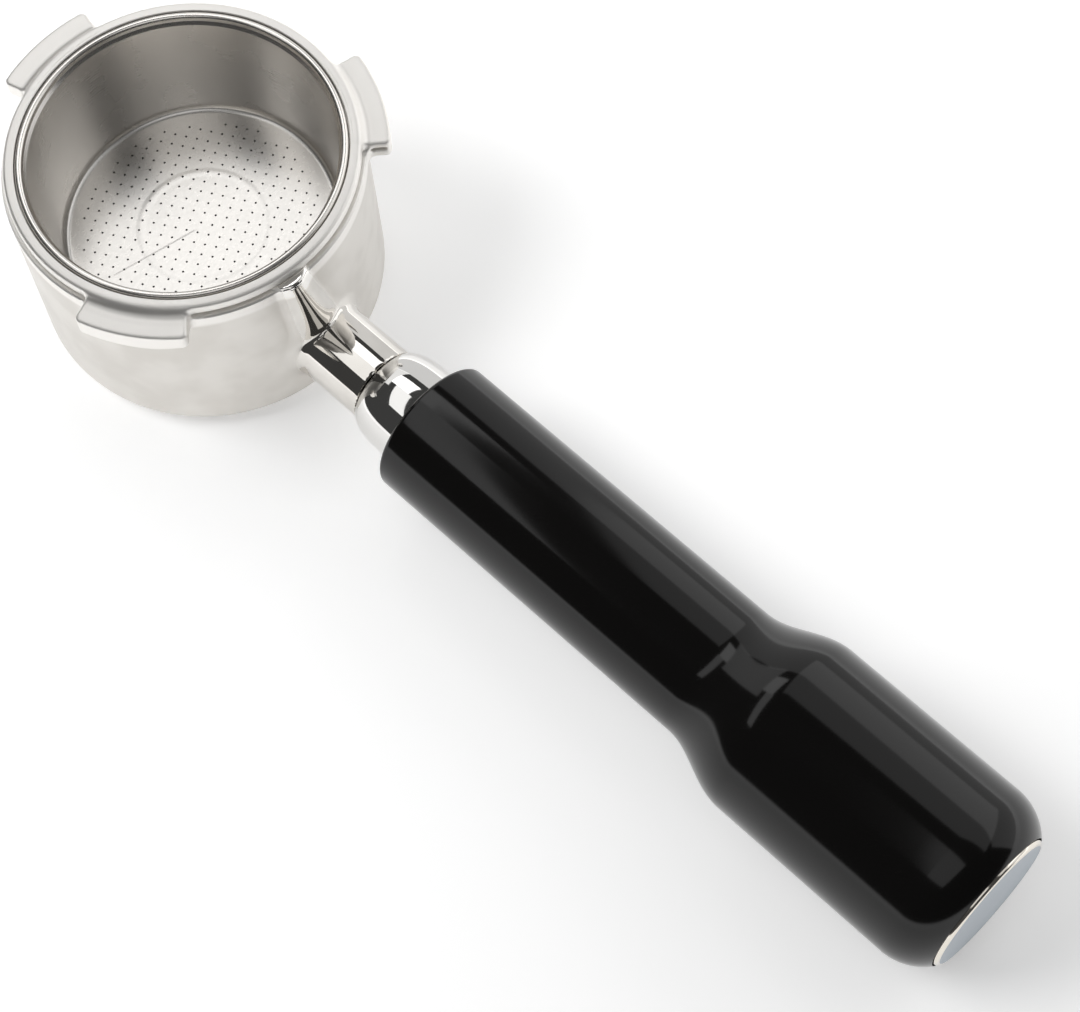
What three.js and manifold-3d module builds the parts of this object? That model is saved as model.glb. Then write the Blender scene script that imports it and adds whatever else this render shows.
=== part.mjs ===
// A three-lug filter holder of the 54 mm class: a handled cup that locks into a brewing head,
// with a lift-out perforated basket, a flow insert, a flush twin outlet and a bolted-on grip.
// Millimetres, +Z up. The origin is on the cup's axis in the plane that the base stands on.
// +X points along the handle, and the XZ plane is the plane of symmetry of the main shapes.

import * as THREE from "three";
import { mergeVertices } from "three/addons/utils/BufferGeometryUtils.js";
import Module from "manifold-3d";

// Clearances
const gap = 0.3; // between pieces that touch or thread into each other
const sealGap = 0.15; // each side of the thin seal behind the collar
const liftClearance = 0.5; // round the basket inside the cup
const tableClearance = 0.1; // under the grip when the base stands on a table
const overshoot = 1; // of a cutting shape beyond what it cuts

// Facets
const cupSegments = 64;
const gripSegments = 40;
const smallSegments = 24;
const arcSteps = 5;

// Cup
const cupWall = 3.7;
const cupCornerRadius = 5;
const boreCornerRadius = 1.5;
const floorThickness = 2.6;
const rimSetback = 0.7; // from the wall's outside in to the rim's
const rimThickness = 2;
const rimEdgeRadius = 0.7;
const rimGrooveWidth = 0.6;
const rimGrooveDepth = 0.5;

// Lugs
const lugAngles = [62.4, 182.4, 302.4];
const lugReach = 5; // beyond the rim
const lugDrop = 1.2; // from the rim's top to a lug's top
const lugThickness = 4;
const lugHalfAngle = 16;
const lugCornerRadius = 1.2;
const lugRoot = 2; // into the rim
const lugFrontFillet = 2.4; // at the root of the end with the ramp
const lugBackFillet = 1.5; // at the root of the end with the pocket
const lugRampAngle = 6;
const lugRampLength = 6;
const lugRampDrop = 4;
const lugPocket = { width: 2.6, height: 1.1, depth: 1.4, drop: 1.2 };

// Basket
const basketRadius = 27; // inside, under the lip
const basketTaper = 1.8; // from the lip's radius down to the floor's
const basketDepth = 25; // below the cup's rim
const basketFootSpace = 3.6; // between the basket and the flow insert's rim
const basketWall = 0.6;
const basketFillet = 1.2;
const lipReach = 1.4; // beyond the basket's wall
const lipInset = 0.6; // from the wall's inside out to the lip's
const lipHeight = 1.3;
const lipProud = 0.2;
const lipThroat = 0.1; // beyond the wall's inside, at the foot of the lip
const lipNeck = 1; // straight wall under the lip

// Wire spring that holds the basket
const springWire = 1.2;
const springDrop = 9.5; // below the cup's rim
const springBite = 0.55; // how far the wire stands into the bore
const springOpening = 24; // degrees left open in the ring

// Flow insert
const insertClearance = 1.55; // inside the wire spring, which it passes
const insertWall = 1.6;
const insertDeck = 1;
const insertRim = 1;
const insertHoleRadius = 3.4;
const insertScrewRoom = 0.4; // over the screw's head

// Outlet
const nozzleRadius = 14;
const nozzleThickness = 4;
const nozzleEdge = 0.6;
const gasketThickness = 0.8;
const gasketInset = 1;
const outletRadius = 2.2;
const outletMouthRadius = 3.3;
const outletMouthDepth = 1.4;
const outletOffset = 8;
const screwRadius = 2;
const screwHeadRadius = 3.8;
const screwHeadHeight = 1.8;
const screwHeadChamfer = 0.5;
const screwSocketRadius = 1.7;
const screwSocketDepth = 1.1;
const screwBite = 2.5; // thread length in the nozzle
const screwWasherRadius = 4.6;
const screwWasherThickness = 0.5;

// Neck and gusset
const neckShoulder = 2.3; // round the spigot
const neckLength = 14.8; // from the cup's wall to the collar
const neckFlareReach = 2.3; // beyond the neck, inside the cup's wall
const neckFlareInset = 0.4; // from the wall's outside in to the widest part
const neckFlareStep = 0.6; // beyond the neck, halfway along
const neckFlareLength = 2.4;
const spigotWall = 0.7; // round the stud's bore
const spigotLength = 5.4;
const gussetTopRadius = 4.2;
const gussetFootRadius = 6.2;
const gussetTopProud = 0.8; // beyond the cup's wall, under the rim
const gussetFootProud = 2.3; // beyond the cup's wall, at the neck
const gussetTopGap = 0.3; // under the rim
const gussetTopShift = -3.7; // sideways lean of the gusset's top

// Handle
const handleRise = THREE.MathUtils.degToRad(1);
const collarLength = 10.2;
const collarRise = 2; // from the neck's radius to the collar's largest
const collarDomeLength = 7;
const collarRearBevel = 0.4;
const collarRingSection = 1;
const collarRingRoom = 0.2; // round the collar's ring
const gripSealThickness = 0.5;
const gripSealInset = 0.6; // inside the collar's edge
const gripFrontRadius = 12.75;
const gripFrontEdge = 0.6;
const gripFrontLength = 68; // to the start of the swelling
const gripSwellLength = 15;
const gripRearRadius = 17;
const gripRearLength = 35.1;
const gripEndRadius = 10; // of the rounding at the end
const gripEndFace = 0.1; // width of the flat left round the cap
const studRadius = 4;
const studBoreDepth = 15.5; // into the neck and its spigot
const studTail = 3; // beyond the nut
const bushWall = 2.5;
const frontBushLength = 13.5;
const rearBushLength = 11;
const cavityRadius = 9.1;
const cavityDepth = 33.3;
const washerRadius = 8;
const washerThickness = 1.6;
const lockWasherRadius = 6.9;
const lockWasherOpening = 14; // degrees
const nutAcrossFlats = 13;
const nutHeight = 6.5;
const capRadius = 13;
const capThickness = 2.2;
const capBevel = 0.6;
const capProud = 0.7;
const capSpigotClearance = 1.1; // inside the grip's cavity
const capSpigotLength = 9.9;
const capSpigotWall = 2.6;
const capRingSection = 1.6;
const capRingClearance = 0.2; // inside the grip's cavity
const capRingPlace = 4.6; // from the cap's shoulder to the middle of its ring

// Radii of the cup
const boreRadius = basketRadius + basketWall + liftClearance;
const cupRadius = boreRadius + cupWall;
const rimRadius = cupRadius - rimSetback;
const lugRadius = rimRadius + lugReach;
const lipRadius = basketRadius + basketWall + lipReach;
const lipInnerRadius = basketRadius + lipInset;
const seatRadius = lipRadius + gap;
const springRadius = boreRadius - springBite + springWire / 2;
const insertRadius = boreRadius - springBite - insertClearance;
const basketFloorRadius = basketRadius - basketTaper;

// Radii of the handle
const boltHole = studRadius + gap;
const spigotRadius = boltHole + spigotWall;
const neckRadius = spigotRadius + neckShoulder;
const collarRearRadius = neckRadius + collarRise;
const gripSealRadius = collarRearRadius - gripSealInset;
const bushRadius = boltHole + bushWall;

// Heights of the cup, from the base up
const recessDepth = nozzleThickness + gap + gasketThickness + gap;
const floorHeight = recessDepth + floorThickness;
const screwWasherHeight = floorHeight + gap;
const screwHeadFoot = screwWasherHeight + screwWasherThickness + gap;
const deckFoot = screwHeadFoot + screwHeadHeight + insertScrewRoom;
const deckTop = deckFoot + insertDeck;
const basketFloorFoot = deckTop + insertRim + basketFootSpace;
const basketFloorTop = basketFloorFoot + basketWall;
const cupHeight = basketFloorTop + basketDepth;
const springHeight = cupHeight - springDrop;
const lipTop = cupHeight + lipProud;
const lipFoot = lipTop - lipHeight;
const seatHeight = lipFoot - gap;

// Places along the handle's axis, from the cup's axis
const neckEnd = cupRadius + neckLength;
const spigotEnd = neckEnd + spigotLength;
const studStart = spigotEnd - studBoreDepth + gap;
const collarStart = neckEnd + gap;
const collarEnd = collarStart + collarLength;
const gripSealStart = collarEnd + sealGap;
const gripStart = gripSealStart + gripSealThickness + sealGap;
const swellStart = gripStart + gripFrontLength;
const swellEnd = swellStart + gripSwellLength;
const roundingStart = swellEnd + gripRearLength;
const recessRadius = capRadius + gap;
const roundingCentre = gripRearRadius - gripEndRadius;
const roundingInside = recessRadius + gripEndFace - roundingCentre;
const roundingReach = Math.sqrt(gripEndRadius ** 2 - roundingInside ** 2);
const gripEnd = roundingStart + roundingReach;
const capFace = gripEnd + capProud;
const capShoulder = capFace - capThickness;
const capSeat = capShoulder - gap;
const cavityFloor = gripEnd - cavityDepth;
const washerStart = cavityFloor + gap;
const lockWasherStart = washerStart + washerThickness + gap;
const nutStart = lockWasherStart + washerThickness + gap;
const studEnd = nutStart + nutHeight + studTail;
const capSpigotRadius = cavityRadius - capSpigotClearance;
const capRingInner = cavityRadius - capRingClearance - capRingSection;

// The grip's lowest line, where it swells, clears the table by tableClearance.
const handleHeight =
  (gripRearRadius + tableClearance) / Math.cos(handleRise) - swellEnd * Math.tan(handleRise);
const handleFrame = new THREE.Matrix4()
  .makeTranslation(0, 0, handleHeight)
  .multiply(new THREE.Matrix4().makeRotationY(-handleRise));

const wasm = await Module();
wasm.setup();

// The closed solid of a geometry, for cutting and joining.
function solidOf(geometry) {
  const bare = geometry.index ? geometry.toNonIndexed() : geometry.clone();
  bare.deleteAttribute("normal");
  bare.deleteAttribute("uv");
  const merged = mergeVertices(bare, 1e-4);
  return new wasm.Manifold(
    new wasm.Mesh({
      numProp: 3,
      vertProperties: new Float32Array(merged.attributes.position.array),
      triVerts: new Uint32Array(merged.index.array),
    }),
  );
}

function geometryOf(solid) {
  const { vertProperties, triVerts } = solid.getMesh();
  const geometry = new THREE.BufferGeometry();
  geometry.setAttribute("position", new THREE.BufferAttribute(new Float32Array(vertProperties), 3));
  geometry.setIndex(new THREE.BufferAttribute(new Uint32Array(triVerts), 1));
  geometry.computeVertexNormals();
  return geometry;
}

// Points of an arc in an outline, both ends included, with angles in degrees.
function arc(x, y, radius, from, to, steps = arcSteps) {
  return Array.from({ length: steps + 1 }, (_, i) => {
    const angle = THREE.MathUtils.degToRad(from + ((to - from) * i) / steps);
    return [x + radius * Math.cos(angle), y + radius * Math.sin(angle)];
  });
}

// Outlines are [radius, height] pairs that run up the outside and down the inside.
function revolve(outline, segments) {
  const points = outline.map(([radius, height]) => new THREE.Vector2(radius, height));
  return new THREE.LatheGeometry(points, segments);
}

function turnUpright(outline, segments = cupSegments) {
  return revolve(outline, segments).rotateX(Math.PI / 2);
}

function turnAlongHandle(outline, segments = gripSegments) {
  return revolve(outline, segments).rotateZ(-Math.PI / 2);
}

// A closed ring of rectangular section.
function ringOutline(inner, outer, from, to) {
  return [[inner, from], [outer, from], [outer, to], [inner, to], [inner, from]];
}

// A solid bar of round section from the axis out.
function barOutline(radius, from, to) {
  return [[0, from], [radius, from], [radius, to], [0, to]];
}

// A torus of the given section, centred at a place along its axis.
function torusOutline(inner, section, place) {
  return arc(inner + section / 2, place, section / 2, -90, 270, 8);
}

// A rod through the base, for cutting holes.
function uprightRod(radius, from, to, y = 0) {
  return solidOf(turnUpright(barOutline(radius, from, to), smallSegments).translate(0, y, 0));
}

// A flat ring with a slot through one side, lying across the handle's axis.
function splitRing(inner, outer, thickness, opening) {
  const half = THREE.MathUtils.degToRad(opening / 2);
  const shape = new THREE.Shape();
  shape.absarc(0, 0, outer, half, 2 * Math.PI - half, false);
  shape.absarc(0, 0, inner, 2 * Math.PI - half, half, true);
  shape.closePath();
  const settings = { depth: thickness, bevelEnabled: false, curveSegments: smallSegments };
  return new THREE.ExtrudeGeometry(shape, settings).rotateY(Math.PI / 2);
}

function polar(radius, degrees) {
  const angle = THREE.MathUtils.degToRad(degrees);
  return [radius * Math.cos(angle), radius * Math.sin(angle)];
}

// One lug, centred on the X axis. The end with the pocket is at the negative angle,
// and the end with the ramp under it at the positive one.
function lugSolid() {
  const inside = rimRadius - lugRoot;
  const corner = THREE.MathUtils.radToDeg(lugCornerRadius / lugRadius);
  const back = -lugHalfAngle - THREE.MathUtils.radToDeg(lugBackFillet / rimRadius);
  const front = lugHalfAngle + THREE.MathUtils.radToDeg(lugFrontFillet / rimRadius);
  const first = THREE.MathUtils.degToRad(corner - lugHalfAngle);
  const last = THREE.MathUtils.degToRad(lugHalfAngle - corner);
  const shape = new THREE.Shape();
  shape.moveTo(...polar(inside, back));
  shape.lineTo(...polar(rimRadius, back));
  const backRoot = polar(rimRadius + lugBackFillet, -lugHalfAngle);
  shape.quadraticCurveTo(...polar(rimRadius, -lugHalfAngle), ...backRoot);
  shape.lineTo(...polar(lugRadius - lugCornerRadius, -lugHalfAngle));
  shape.quadraticCurveTo(...polar(lugRadius, -lugHalfAngle), ...polar(lugRadius, corner - lugHalfAngle));
  shape.absarc(0, 0, lugRadius, first, last, false);
  const frontCorner = polar(lugRadius - lugCornerRadius, lugHalfAngle);
  shape.quadraticCurveTo(...polar(lugRadius, lugHalfAngle), ...frontCorner);
  shape.lineTo(...polar(rimRadius + lugFrontFillet, lugHalfAngle));
  shape.quadraticCurveTo(...polar(rimRadius, lugHalfAngle), ...polar(rimRadius, front));
  shape.lineTo(...polar(inside, front));
  shape.closePath();
  const settings = { depth: lugThickness, bevelEnabled: false, curveSegments: 6 };
  const foot = cupHeight - lugDrop - lugThickness;
  const plate = solidOf(new THREE.ExtrudeGeometry(shape, settings).translate(0, 0, foot));
  const ramp = new THREE.BoxGeometry(3 * lugThickness, 2 * lugRampLength, lugRampDrop)
    .translate(0, lugRampLength, -lugRampDrop / 2)
    .rotateX(THREE.MathUtils.degToRad(lugRampAngle))
    .translate(lugRadius, -lugRampLength, foot)
    .rotateZ(THREE.MathUtils.degToRad(lugHalfAngle));
  const { width, height, depth, drop } = lugPocket;
  const pocket = new THREE.BoxGeometry(width, 2 * depth, height)
    .translate((rimRadius + lugRadius) / 2, 0, foot + lugThickness - drop - height / 2)
    .rotateZ(THREE.MathUtils.degToRad(-lugHalfAngle));
  return plate.subtract(solidOf(ramp)).subtract(solidOf(pocket));
}

function lugSolids() {
  return lugAngles.map((angle) => lugSolid().rotate([0, 0, angle]));
}

// The leaning cone that stiffens the neck, up the cup's wall to the rim.
function gussetSolid() {
  const height = cupHeight - rimThickness - gussetTopGap - handleHeight;
  const footX = cupRadius + gussetFootProud - gussetFootRadius;
  const wallX = Math.sqrt(cupRadius ** 2 - gussetTopShift ** 2);
  const topX = wallX + gussetTopProud - gussetTopRadius;
  const lean = new THREE.Matrix4();
  lean.elements[8] = (topX - footX) / height;
  lean.elements[9] = gussetTopShift / height;
  const cone = new THREE.CylinderGeometry(gussetTopRadius, gussetFootRadius, height, smallSegments)
    .rotateX(Math.PI / 2)
    .translate(0, 0, height / 2)
    .applyMatrix4(lean)
    .translate(footX, 0, handleHeight);
  return solidOf(cone);
}

function holderGeometry() {
  const grooveTop = cupHeight - rimThickness;
  const grooveFoot = grooveTop - rimGrooveWidth;
  const outside = [
    [0, 0],
    ...arc(cupRadius - cupCornerRadius, cupCornerRadius, cupCornerRadius, -90, 0),
    [cupRadius, grooveFoot],
    [rimRadius - rimGrooveDepth, grooveFoot],
    [rimRadius - rimGrooveDepth, grooveTop],
    [rimRadius, grooveTop],
    ...arc(rimRadius - rimEdgeRadius, cupHeight - rimEdgeRadius, rimEdgeRadius, 0, 90, 3),
    [0, cupHeight],
  ];
  const spigot = [
    [0, 0],
    [neckRadius, 0],
    [neckRadius, neckEnd],
    [spigotRadius, neckEnd],
    [spigotRadius, spigotEnd],
    [0, spigotEnd],
  ];
  const flare = [
    [0, boreRadius],
    [neckRadius + neckFlareReach, boreRadius],
    [neckRadius + neckFlareReach, cupRadius - neckFlareInset],
    [neckRadius + neckFlareStep, cupRadius + neckFlareLength / 2],
    [neckRadius, cupRadius + neckFlareLength],
    [0, cupRadius + neckFlareLength],
  ];
  const grooveRadius = springRadius + springWire / 2 + gap;
  const grooveHalf = springWire / 2 + gap;
  const inside = [
    [0, floorHeight],
    ...arc(boreRadius - boreCornerRadius, floorHeight + boreCornerRadius, boreCornerRadius, -90, 0, 3),
    [boreRadius, springHeight - grooveHalf],
    [grooveRadius, springHeight - grooveHalf],
    [grooveRadius, springHeight + grooveHalf],
    [boreRadius, springHeight + grooveHalf],
    [boreRadius, seatHeight],
    [seatRadius, seatHeight],
    [seatRadius, cupHeight + overshoot],
    [0, cupHeight + overshoot],
  ];
  const along = (outline) => solidOf(turnAlongHandle(outline, smallSegments).applyMatrix4(handleFrame));
  let holder = solidOf(turnUpright(outside)).add(along(spigot)).add(along(flare)).add(gussetSolid());
  for (const lug of lugSolids()) holder = holder.add(lug);
  return geometryOf(
    holder
      .subtract(solidOf(turnUpright(inside)))
      .subtract(solidOf(turnUpright(barOutline(nozzleRadius + gap, -overshoot, recessDepth), gripSegments)))
      .subtract(along(barOutline(boltHole, studStart - gap, spigotEnd + overshoot)))
      .subtract(uprightRod(screwRadius + gap, recessDepth - overshoot, floorHeight + overshoot))
      .subtract(uprightRod(outletRadius, recessDepth - overshoot, floorHeight + overshoot, outletOffset))
      .subtract(uprightRod(outletRadius, recessDepth - overshoot, floorHeight + overshoot, -outletOffset)),
  );
}

function basketGeometry() {
  const wallTop = lipFoot - lipNeck;
  const lipHalf = (lipRadius - lipInnerRadius) / 2;
  const outerFoot = basketFloorRadius + basketWall;
  return turnUpright([
    [0, basketFloorFoot],
    ...arc(outerFoot - basketFillet, basketFloorFoot + basketFillet, basketFillet, -90, 0, 3),
    [basketRadius + basketWall, wallTop],
    [basketRadius + basketWall, lipFoot],
    [lipRadius, lipFoot],
    ...arc(lipRadius - lipHalf, lipTop - lipHalf, lipHalf, 0, 180, 6),
    [basketRadius + lipThroat, lipFoot],
    [basketRadius, wallTop],
    ...arc(basketFloorRadius - basketFillet, basketFloorTop + basketFillet, basketFillet, 0, -90, 3),
    [0, basketFloorTop],
  ]);
}

function springGeometry() {
  const half = springOpening / 2;
  const places = Array.from({ length: 33 }, (_, i) => half + ((360 - springOpening) * i) / 32);
  const path = new THREE.CatmullRomCurve3(
    places.map((angle) => new THREE.Vector3(...polar(springRadius, angle), springHeight)),
  );
  const section = new THREE.Shape().absarc(0, 0, springWire / 2, 0, 2 * Math.PI, false);
  return new THREE.ExtrudeGeometry(section, {
    steps: 44,
    curveSegments: 4,
    bevelEnabled: false,
    extrudePath: path,
  });
}

function insertGeometry() {
  const inner = insertRadius - insertWall;
  return turnUpright(
    [
      [insertHoleRadius, deckFoot],
      [inner, deckFoot],
      [inner, floorHeight + gap],
      [insertRadius, floorHeight + gap],
      [insertRadius, deckTop + insertRim],
      [inner, deckTop + insertRim],
      [inner, deckTop],
      [insertHoleRadius, deckTop],
      [insertHoleRadius, deckFoot],
    ],
    gripSegments,
  );
}

function nozzleGeometry() {
  const body = turnUpright(
    [
      [0, 0],
      [nozzleRadius - nozzleEdge, 0],
      [nozzleRadius, nozzleEdge],
      [nozzleRadius, nozzleThickness],
      [0, nozzleThickness],
    ],
    gripSegments,
  );
  const funnel = [
    [0, -overshoot],
    [outletMouthRadius, -overshoot],
    [outletMouthRadius, 0],
    [outletRadius, outletMouthDepth],
    [outletRadius, nozzleThickness + overshoot],
    [0, nozzleThickness + overshoot],
  ];
  let nozzle = solidOf(body);
  for (const y of [outletOffset, -outletOffset]) {
    nozzle = nozzle.subtract(solidOf(turnUpright(funnel, smallSegments).translate(0, y, 0)));
  }
  const bite = nozzleThickness - screwBite - gap;
  return geometryOf(nozzle.subtract(uprightRod(screwRadius + gap, bite, nozzleThickness + overshoot)));
}

function gasketGeometry() {
  const foot = nozzleThickness + gap;
  const top = foot + gasketThickness;
  const disc = solidOf(turnUpright(barOutline(nozzleRadius - gasketInset, foot, top), gripSegments));
  return geometryOf(
    disc
      .subtract(uprightRod(screwRadius + gap, foot - overshoot, top + overshoot))
      .subtract(uprightRod(outletRadius, foot - overshoot, top + overshoot, outletOffset))
      .subtract(uprightRod(outletRadius, foot - overshoot, top + overshoot, -outletOffset)),
  );
}

function screwGeometry() {
  const top = screwHeadFoot + screwHeadHeight;
  const body = turnUpright(
    [
      [0, nozzleThickness - screwBite],
      [screwRadius, nozzleThickness - screwBite],
      [screwRadius, screwHeadFoot],
      [screwHeadRadius, screwHeadFoot],
      [screwHeadRadius, top - screwHeadChamfer],
      [screwHeadRadius - screwHeadChamfer, top],
      [0, top],
    ],
    smallSegments,
  );
  const socket = new THREE.CylinderGeometry(screwSocketRadius, screwSocketRadius, 2 * screwSocketDepth, 6)
    .rotateX(Math.PI / 2)
    .translate(0, 0, top);
  return geometryOf(solidOf(body).subtract(solidOf(socket)));
}

function screwWasherGeometry() {
  const top = screwWasherHeight + screwWasherThickness;
  return turnUpright(
    ringOutline(screwRadius + gap, screwWasherRadius, screwWasherHeight, top),
    smallSegments,
  );
}

function collarGeometry() {
  const dome = [15, 30, 50, 70, 90].map((degrees) => {
    const angle = THREE.MathUtils.degToRad(degrees);
    return [
      neckRadius + collarRise * Math.sin(angle),
      collarStart + collarDomeLength * (1 - Math.cos(angle)),
    ];
  });
  const bore = spigotRadius + gap;
  const counterbore = bore + collarRingSection + collarRingRoom;
  const counterboreEnd = collarStart + collarRingSection + 2 * collarRingRoom;
  return turnAlongHandle([
    [counterbore, collarStart],
    [neckRadius, collarStart],
    ...dome,
    [collarRearRadius, collarEnd - collarRearBevel],
    [collarRearRadius - collarRearBevel, collarEnd],
    [bore, collarEnd],
    [bore, counterboreEnd],
    [counterbore, counterboreEnd],
    [counterbore, collarStart],
  ]);
}

// The outside of the grip: straight, swelling, straight again, then rounded over to the cap.
function gripOutside() {
  const rise = gripRearRadius - gripFrontRadius;
  const swell = Array.from({ length: 9 }, (_, i) => {
    const share = (i + 1) / 10;
    const smooth = (1 - Math.cos(Math.PI * share)) / 2;
    return [gripFrontRadius + rise * smooth, swellStart + gripSwellLength * share];
  });
  const last = THREE.MathUtils.radToDeg(Math.acos(roundingReach / gripEndRadius));
  return [
    [gripFrontRadius - gripFrontEdge, gripStart],
    [gripFrontRadius, gripStart + gripFrontEdge],
    [gripFrontRadius, swellStart],
    ...swell,
    [gripRearRadius, swellEnd],
    ...arc(roundingCentre, roundingStart, gripEndRadius, 0, 90 - last, 6),
  ];
}

function gripGeometry() {
  const bushPocket = bushRadius + gap;
  const frontPocketEnd = gripStart + frontBushLength + 2 * gap;
  const rearPocketStart = cavityFloor - rearBushLength - 2 * gap;
  const bore = boltHole + gap;
  return turnAlongHandle([
    [bushPocket, gripStart],
    ...gripOutside(),
    [recessRadius, gripEnd],
    [recessRadius, capSeat],
    [cavityRadius, capSeat],
    [cavityRadius, cavityFloor],
    [bushPocket, cavityFloor],
    [bushPocket, rearPocketStart],
    [bore, rearPocketStart],
    [bore, frontPocketEnd],
    [bushPocket, frontPocketEnd],
    [bushPocket, gripStart],
  ]);
}

function capGeometry() {
  const foot = capShoulder - capSpigotLength;
  const ringMiddle = capShoulder - capRingPlace;
  const grooveHalf = capRingSection / 2 + gap;
  const grooveRadius = capRingInner - gap;
  return turnAlongHandle([
    [capSpigotRadius - capSpigotWall, foot],
    [capSpigotRadius, foot],
    [capSpigotRadius, ringMiddle - grooveHalf],
    [grooveRadius, ringMiddle - grooveHalf],
    [grooveRadius, ringMiddle + grooveHalf],
    [capSpigotRadius, ringMiddle + grooveHalf],
    [capSpigotRadius, capShoulder],
    [capRadius, capShoulder],
    [capRadius, capFace - capBevel],
    [capRadius - capBevel, capFace],
    [0, capFace],
    [0, capShoulder],
    [capSpigotRadius - capSpigotWall, capShoulder],
    [capSpigotRadius - capSpigotWall, foot],
  ]);
}

function nutGeometry() {
  const shape = new THREE.Shape();
  const corner = nutAcrossFlats / 2 / Math.cos(Math.PI / 6);
  for (let i = 0; i < 6; i += 1) {
    const [x, y] = polar(corner, 60 * i);
    if (i === 0) shape.moveTo(x, y);
    else shape.lineTo(x, y);
  }
  shape.closePath();
  shape.holes.push(new THREE.Path().absarc(0, 0, boltHole, 0, 2 * Math.PI, true));
  const settings = { depth: nutHeight, bevelEnabled: false, curveSegments: 12 };
  return new THREE.ExtrudeGeometry(shape, settings).rotateY(Math.PI / 2).translate(nutStart, 0, 0);
}

function finish(color, roughness, metalness) {
  return { color, roughness, metalness };
}

const satinSteel = finish(0xd4cfc6, 0.35, 1);
const brushedSteel = finish(0xb9b4ab, 0.3, 1);
const polishedChrome = finish(0xe6e4e0, 0.06, 1);
const springSteel = finish(0x9c9a97, 0.3, 1);
const zincSteel = finish(0xa7a9a8, 0.4, 1);
const brass = finish(0xb8934a, 0.35, 1);
const greyPlastic = finish(0x3a3c3e, 0.6, 0);
const blackGloss = finish(0x0b0b0c, 0.08, 0);
const blackRubber = finish(0x161616, 0.85, 0);

function piece(name, geometry, settings) {
  const mesh = new THREE.Mesh(geometry, new THREE.MeshStandardMaterial(settings));
  mesh.name = name;
  return mesh;
}

const cup = new THREE.Group();
cup.add(
  piece("holder_body", holderGeometry(), satinSteel),
  piece("filter_basket", basketGeometry(), brushedSteel),
  piece("basket_spring", springGeometry(), springSteel),
  piece("flow_insert", insertGeometry(), greyPlastic),
  piece("outlet_nozzle", nozzleGeometry(), satinSteel),
  piece("outlet_gasket", gasketGeometry(), blackRubber),
  piece("outlet_screw", screwGeometry(), zincSteel),
  piece("screw_washer", screwWasherGeometry(), zincSteel),
);

// Pieces on the handle's axis, in the order they are threaded on
const ringPlace = collarStart + collarRingRoom + collarRingSection / 2;
const handle = new THREE.Group();
handle.applyMatrix4(handleFrame);
handle.add(
  piece(
    "collar_ring",
    turnAlongHandle(torusOutline(spigotRadius + gap, collarRingSection, ringPlace), smallSegments),
    blackRubber,
  ),
  piece("collar", collarGeometry(), polishedChrome),
  piece(
    "grip_seal",
    turnAlongHandle(
      ringOutline(boltHole, gripSealRadius, gripSealStart, gripSealStart + gripSealThickness),
      smallSegments,
    ),
    blackRubber,
  ),
  piece("grip", gripGeometry(), blackGloss),
  piece(
    "front_bush",
    turnAlongHandle(
      ringOutline(boltHole, bushRadius, gripStart + gap, gripStart + gap + frontBushLength),
      smallSegments,
    ),
    brass,
  ),
  piece("handle_stud", turnAlongHandle(barOutline(studRadius, studStart, studEnd), smallSegments), zincSteel),
  piece(
    "rear_bush",
    turnAlongHandle(
      ringOutline(boltHole, bushRadius, cavityFloor - gap - rearBushLength, cavityFloor - gap),
      smallSegments,
    ),
    brass,
  ),
  piece(
    "stud_washer",
    turnAlongHandle(
      ringOutline(boltHole, washerRadius, washerStart, washerStart + washerThickness),
      smallSegments,
    ),
    zincSteel,
  ),
  piece(
    "lock_washer",
    splitRing(boltHole, lockWasherRadius, washerThickness, lockWasherOpening).translate(lockWasherStart, 0, 0),
    springSteel,
  ),
  piece("stud_nut", nutGeometry(), zincSteel),
  piece(
    "cap_ring",
    turnAlongHandle(torusOutline(capRingInner, capRingSection, capShoulder - capRingPlace), smallSegments),
    blackRubber,
  ),
  piece("end_cap", capGeometry(), polishedChrome),
);

const filterHolder = new THREE.Group();
filterHolder.add(cup, handle);

export default filterHolder;
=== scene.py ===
import math
import bpy
import bmesh
import numpy as np
from mathutils import Matrix, Vector


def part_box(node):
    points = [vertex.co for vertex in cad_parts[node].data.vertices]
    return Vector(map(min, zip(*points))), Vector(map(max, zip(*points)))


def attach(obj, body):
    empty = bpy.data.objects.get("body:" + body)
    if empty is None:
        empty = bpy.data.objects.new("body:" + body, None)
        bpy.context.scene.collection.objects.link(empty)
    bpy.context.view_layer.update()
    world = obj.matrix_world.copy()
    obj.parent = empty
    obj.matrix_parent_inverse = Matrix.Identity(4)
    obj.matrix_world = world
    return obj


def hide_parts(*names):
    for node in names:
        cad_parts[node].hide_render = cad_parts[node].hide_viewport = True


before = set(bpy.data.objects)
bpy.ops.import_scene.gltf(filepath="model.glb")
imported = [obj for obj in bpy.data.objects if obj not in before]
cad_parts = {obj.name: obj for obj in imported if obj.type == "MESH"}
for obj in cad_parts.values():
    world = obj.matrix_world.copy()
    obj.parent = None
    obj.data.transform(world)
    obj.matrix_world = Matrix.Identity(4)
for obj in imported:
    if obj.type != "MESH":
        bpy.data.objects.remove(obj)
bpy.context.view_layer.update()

mm = 0.001  # sizes below are in millimetres


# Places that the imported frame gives

def boxIn(node):
    low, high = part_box(node)
    return Vector(low) / mm, Vector(high) / mm


def boxCentre(node):
    low, high = boxIn(node)
    return (low + high) / 2


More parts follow.
